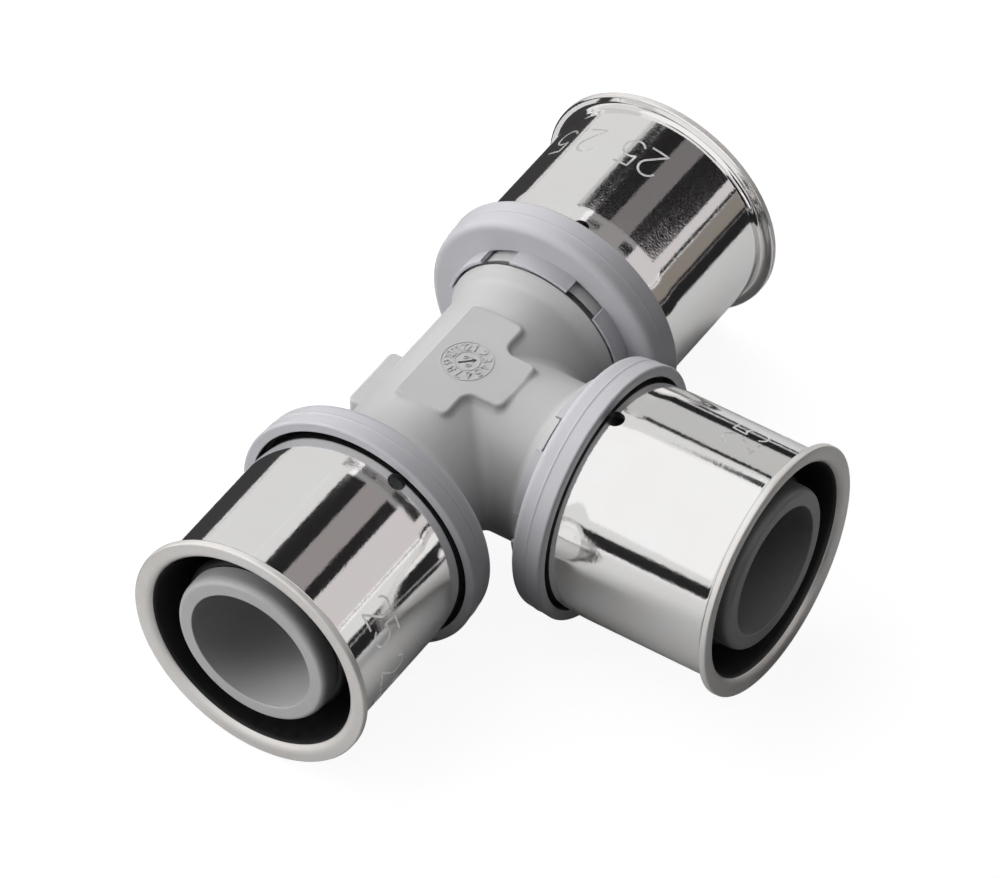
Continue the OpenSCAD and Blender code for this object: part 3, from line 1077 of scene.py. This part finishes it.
def dateDial(d=dialSizes):
    heading = math.radians(d["up"])
    ahead = np.array([math.cos(heading), math.sin(heading)])
    sideways = np.array([ahead[1], -ahead[0]])
    middle = np.array(d["centre"])
    top = bodySizes["padHeight"]

    def turned(angle, shift=(0.0, 0.0)):
        c, s = math.cos(angle), math.sin(angle)

        def place(right, up, out):
            x, y = right + shift[0], up + shift[1]
            x, y = x * c - y * s, x * s + y * c
            spot = middle + sideways * x + ahead * y
            return (spot[0], spot[1], top + out)

        return place

    rise, sunk = d["rise"], -d["sunk"]
    points, faces = [], []
    for radius, line in d["rings"]:
        circle = strokeArc(0, 0, radius, radius, 0, 360, 64)
        strokeSolid(circle, line, rise * d["ringRise"], sunk, turned(0), points, faces)
    height, pitch = d["numberHeight"], d["numberPitch"]
    for number in range(1, 13):
        text = str(number)
        wide = pitch * (len(text) - 1) + d["letterWidth"] * height
        place = turned(-math.tau * number / 12, (-wide / 2, d["numberFoot"]))
        writeText(text, height, pitch, d["line"], rise, sunk, place, points, faces)
    tilt = -math.pi / 2 + math.radians(d["arrowTilt"])
    height = d["yearHeight"]
    for text, across in (("8", -d["yearAside"]), ("0", d["yearAside"])):
        place = turned(tilt, (across - d["letterWidth"] / 2 * height, -height / 2))
        writeText(text, height, pitch, d["yearLine"], rise, sunk, place, points, faces)
    pieceFrom("dateDial", crispMesh("dial", points, faces), bodyPlastic, "body_plastic")
    # painted shade: the arrow is a dark strip nearly flush with the pad, in place of the shade in a
    # sunken slot
    points, faces = [], []
    reach, rise, (aside, back) = d["arrowLength"] / 2, d["arrowRise"], d["arrowWing"]
    head = [(-aside, reach - back), (0, reach), (aside, reach - back)]
    strokeSolid([(0, -reach), (0, reach)], d["arrowShaft"], rise, sunk, turned(tilt), points, faces)
    strokeSolid(head, d["arrowLine"], rise, sunk, turned(tilt), points, faces)
    pieceFrom("dialArrow", crispMesh("arrow", points, faces), slotShade, "body_plastic")


dateDial()
print("marks made")


# studio: white floor that keeps the shadow, white surroundings and soft lamps
stageSizes = {
    "floorHalf": 6.0,  # m
    "floorGlow": 0.92,
    "floorShadow": 0.13,
    "floorBounce": 0.12,
    "floorInSteel": 0.62,
    "worldFill": 0.01,
    "lampSide": 0.75,  # m
    "ceiling": 300,
    "cardLift": 3,  # of the cards on the floor
}


lampPlan = {
    "backHigh": ((-0.18, 0.5, 0.78), 3.9),  # place in m, power in W
    "backLow": ((0.15, 0.85, 0.4), 4.3),
    "backRight": ((0.5, 0.5, 0.65), 4.9),
    "left": ((-0.76, 0.5, 0.2), 9.0),
    "front": ((0.15, -0.8, 0.6), 0.45),
    "above": ((-0.1, -0.1, 0.95), 1.3),
}


def clearedNodes(owner, outputKind):
    owner.use_nodes = True
    nodes, links = owner.node_tree.nodes, owner.node_tree.links
    nodes.clear()
    return nodes, links, nodes.new(outputKind)


def whiteStage(s=stageSizes):
    half = s["floorHalf"]
    mesh = bpy.data.meshes.new("floor")
    corners = [(x * half, y * half, floorHeight) for x, y in ((-1, -1), (1, -1), (1, 1), (-1, 1))]
    mesh.from_pydata(corners, [], [(0, 1, 2, 3)])
    floor = looseObject("floor", mesh)
    material = bpy.data.materials.new("whiteFloor")
    nodes, links, out = clearedNodes(material, "ShaderNodeOutputMaterial")
    path = nodes.new("ShaderNodeLightPath")

    def paint(level):
        shader = nodes.new("ShaderNodeBsdfDiffuse")
        shader.inputs["Color"].default_value = (level, level, level, 1)
        return shader.outputs[0]

    def mixBy(ray, others, seen):
        mix = nodes.new("ShaderNodeMixShader")
        links.new(path.outputs[ray], mix.inputs[0])
        links.new(others, mix.inputs[1])
        links.new(seen, mix.inputs[2])
        return mix.outputs[0]

    # the camera sees white with a faint shadow, the steel sees a plain matt floor
    glow = nodes.new("ShaderNodeEmission")
    glow.inputs["Strength"].default_value = s["floorGlow"]
    added = nodes.new("ShaderNodeAddShader")
    links.new(paint(s["floorShadow"]), added.inputs[0])
    links.new(glow.outputs[0], added.inputs[1])
    inSteel = mixBy("Is Glossy Ray", paint(s["floorBounce"]), paint(s["floorInSteel"]))
    links.new(mixBy("Is Camera Ray", inSteel, added.outputs[0]), out.inputs["Surface"])
    mesh.materials.append(material)


def whiteWorld(fill):
    # white for the camera and in the steel, and nearly no light on the object
    world = bpy.data.worlds.new("studio")
    scene.world = world
    nodes, links, out = clearedNodes(world, "ShaderNodeOutputWorld")
    path = nodes.new("ShaderNodeLightPath")
    seen = nodes.new("ShaderNodeMath")
    seen.operation = "MAXIMUM"
    links.new(path.outputs["Is Camera Ray"], seen.inputs[0])
    links.new(path.outputs["Is Glossy Ray"], seen.inputs[1])
    soft = nodes.new("ShaderNodeBackground")
    soft.inputs["Strength"].default_value = fill
    white = nodes.new("ShaderNodeBackground")
    white.inputs["Color"].default_value = (1, 1, 1, 1)
    white.inputs["Strength"].default_value = 1.0
    mix = nodes.new("ShaderNodeMixShader")
    links.new(seen.outputs[0], mix.inputs[0])
    links.new(soft.outputs[0], mix.inputs[1])
    links.new(white.outputs[0], mix.inputs[2])
    links.new(mix.outputs[0], out.inputs["Surface"])


def softLamp(name, place, power, side):
    # a square lamp that faces the origin and isn't seen itself
    data = bpy.data.lights.new(name, "AREA")
    data.shape = "RECTANGLE"
    data.size, data.size_y = side, side
    data.energy = power
    lamp = bpy.data.objects.new(name, data)
    scene.collection.objects.link(lamp)
    lamp.location = place
    lamp.rotation_mode = "QUATERNION"
    lamp.rotation_quaternion = Vector(place).to_track_quat("Z", "Y")
    lamp.visible_camera = False
    lamp.visible_glossy = False


def studioCard(name, corners, brightness):
    # a board round the object that only shows in its reflections
    mesh = bpy.data.meshes.new(name)
    mesh.from_pydata([Vector(c) * mm for c in corners], [], [tuple(range(len(corners)))])
    card = looseObject(name, mesh)
    material = bpy.data.materials.new(name)
    nodes, links, out = clearedNodes(material, "ShaderNodeOutputMaterial")
    glow = nodes.new("ShaderNodeEmission")
    glow.inputs["Color"].default_value = (*brightness, 1)
    glow.inputs["Strength"].default_value = 1.0
    links.new(glow.outputs[0], out.inputs["Surface"])
    mesh.materials.append(material)
    card.visible_camera = False
    card.visible_diffuse = False
    card.visible_shadow = False
    card.visible_transmission = False


def levelCorners(corners, height):
    return [(x, y, height) for x, y in corners]


def boardBetween(first, second, low, high):
    return [(*first, low), (*second, low), (*second, high), (*first, high)]


def uprightBoard(x, y, width, low, high):
    # a board that stands with its face to the origin
    foot, side = Vector((x, y)), Vector((-y, x)).normalized() * width / 2
    return boardBetween(foot - side, foot + side, low, high)


cardColours = {
    "black": (0.018, 0.017, 0.018),
    "shade": (0.05, 0.048, 0.05),
    "dusk": (0.19, 0.175, 0.178),
    "beige": (0.25, 0.225, 0.2),
    "middling": (0.30, 0.295, 0.295),
    "grey": (0.31, 0.288, 0.288),
    "rose": (0.36, 0.29, 0.27),
    "panel": (0.56, 0.56, 0.555),
    "blush": (0.66, 0.625, 0.63),
    "pale": (0.76, 0.76, 0.755),
}


# cards overhead: colour, drop below the ceiling, so that one hangs in front of another, and corners
overheadCards = {
    # what the left sleeve sees
    "darkLeft": ("black", 0, (
        (118, -13), (190, -13), (191, 40), (188, 93), (157, 93), (130, 50))),
    "greyLeft": ("grey", 0, (
        (112, -148), (212, -148), (194, -66), (190, -13), (112, -13))),
    "thinLeft": ("black", 0, (
        (135, -148), (212, -148), (245, -237), (165, -237))),
    # what the right sleeve sees
    "darkRight": ("black", 1, (
        (315, -22), (315, 55), (276, 98), (290, 132), (288, 162), (268, 152), (248, 108), (236, 60),
        (230, 40), (229, -22))),
    "greyRight": ("dusk", 0, (
        (255, -148), (330, -148), (318, -66), (315, -22), (229, -22), (235, -66))),
    "blotRight": ("black", 0, (
        (256, -148), (345, -148), (375, -235), (432, -334), (560, -522), (464, -522), (348, -345),
        (292, -237))),
    # behind and between them
    "neckField": ("middling", -3, (
        (90, -240), (345, -240), (345, 62), (120, 62), (90, 20))),
    "paleGap": ("pale", -3, (
        (140, 93), (250, 93), (262, 150), (240, 170), (140, 170))),
    "blushField": ("blush", -1, (
        (60, -237), (290, -237), (348, -345), (464, -522), (1500, -522), (1500, -850), (640, -850),
        (560, -1000), (60, -1000))),
    "farStripe": ("black", 0, (
        (690, -1060), (1600, -1060), (1500, -850), (690, -850))),
    "warmStripe": ("rose", 0, (
        (560, -1180), (690, -1180), (690, -1000), (560, -1000))),
    # what the branch sleeve sees
    "panelEdge": ("black", 0, (
        (248, 62), (256, 62), (256, 170), (248, 170))),
    "panel": ("panel", 0, (
        (256, 62), (470, 110), (1700, 420), (1700, 760), (1208, 560), (470, 262), (256, 170))),
    "paleCeiling": ("pale", 0, (
        (240, 170), (256, 170), (470, 262), (1208, 560), (1700, 760), (2600, 1200), (2600, 3000),
        (-2600, 3000), (-2600, 420), (80, 260), (170, 170))),
}


# boards that stand round the object: colour, then x, y, width, lowest and highest edge
standingBoards = {
    "paleBack": ("pale", (1450, 1900, 3400, 0, 305)),
    "lowBoard": ("black", (742, 300, 300, 2, 150)),
    "sideBoard": ("pale", (1280, -1760, 1900, 0, 430)),
    "farBoard": ("black", (-742, 300, 360, -15, 150)),
    "frontBoard": ("black", (-330, -700, 520, -15, 480)),
    "underBoard": ("black", (180, -300, 320, -15, 8)),
}


# cards on the floor: colour and corners
floorCards = {
    "backFloor": ("shade", ((-80, 27), (300, 27), (420, 300), (60, 300))),
    "farFloor": ("pale", ((60, 300), (420, 300), (2300, 1900), (300, 1900))),
    "frontFloor": ("black", ((-110, -62), (130, -62), (260, -220), (-110, -220))),
}


whiteStage()
whiteWorld(stageSizes["worldFill"])
for lamp, (place, power) in lampPlan.items():
    softLamp(lamp, place, power, stageSizes["lampSide"])
for name, (colour, drop, corners) in overheadCards.items():
    studioCard(name, levelCorners(corners, stageSizes["ceiling"] - drop), cardColours[colour])
for name, (colour, plan) in standingBoards.items():
    studioCard(name, uprightBoard(*plan), cardColours[colour])
studioCard("beigeBoard", boardBetween((112, -198), (250, -98), 3, 50), cardColours["beige"])
ground = floorHeight / mm + stageSizes["cardLift"]
for name, (colour, corners) in floorCards.items():
    studioCard(name, levelCorners(corners, ground), cardColours[colour])

scene.view_settings.view_transform = "Standard"
print("scene made")
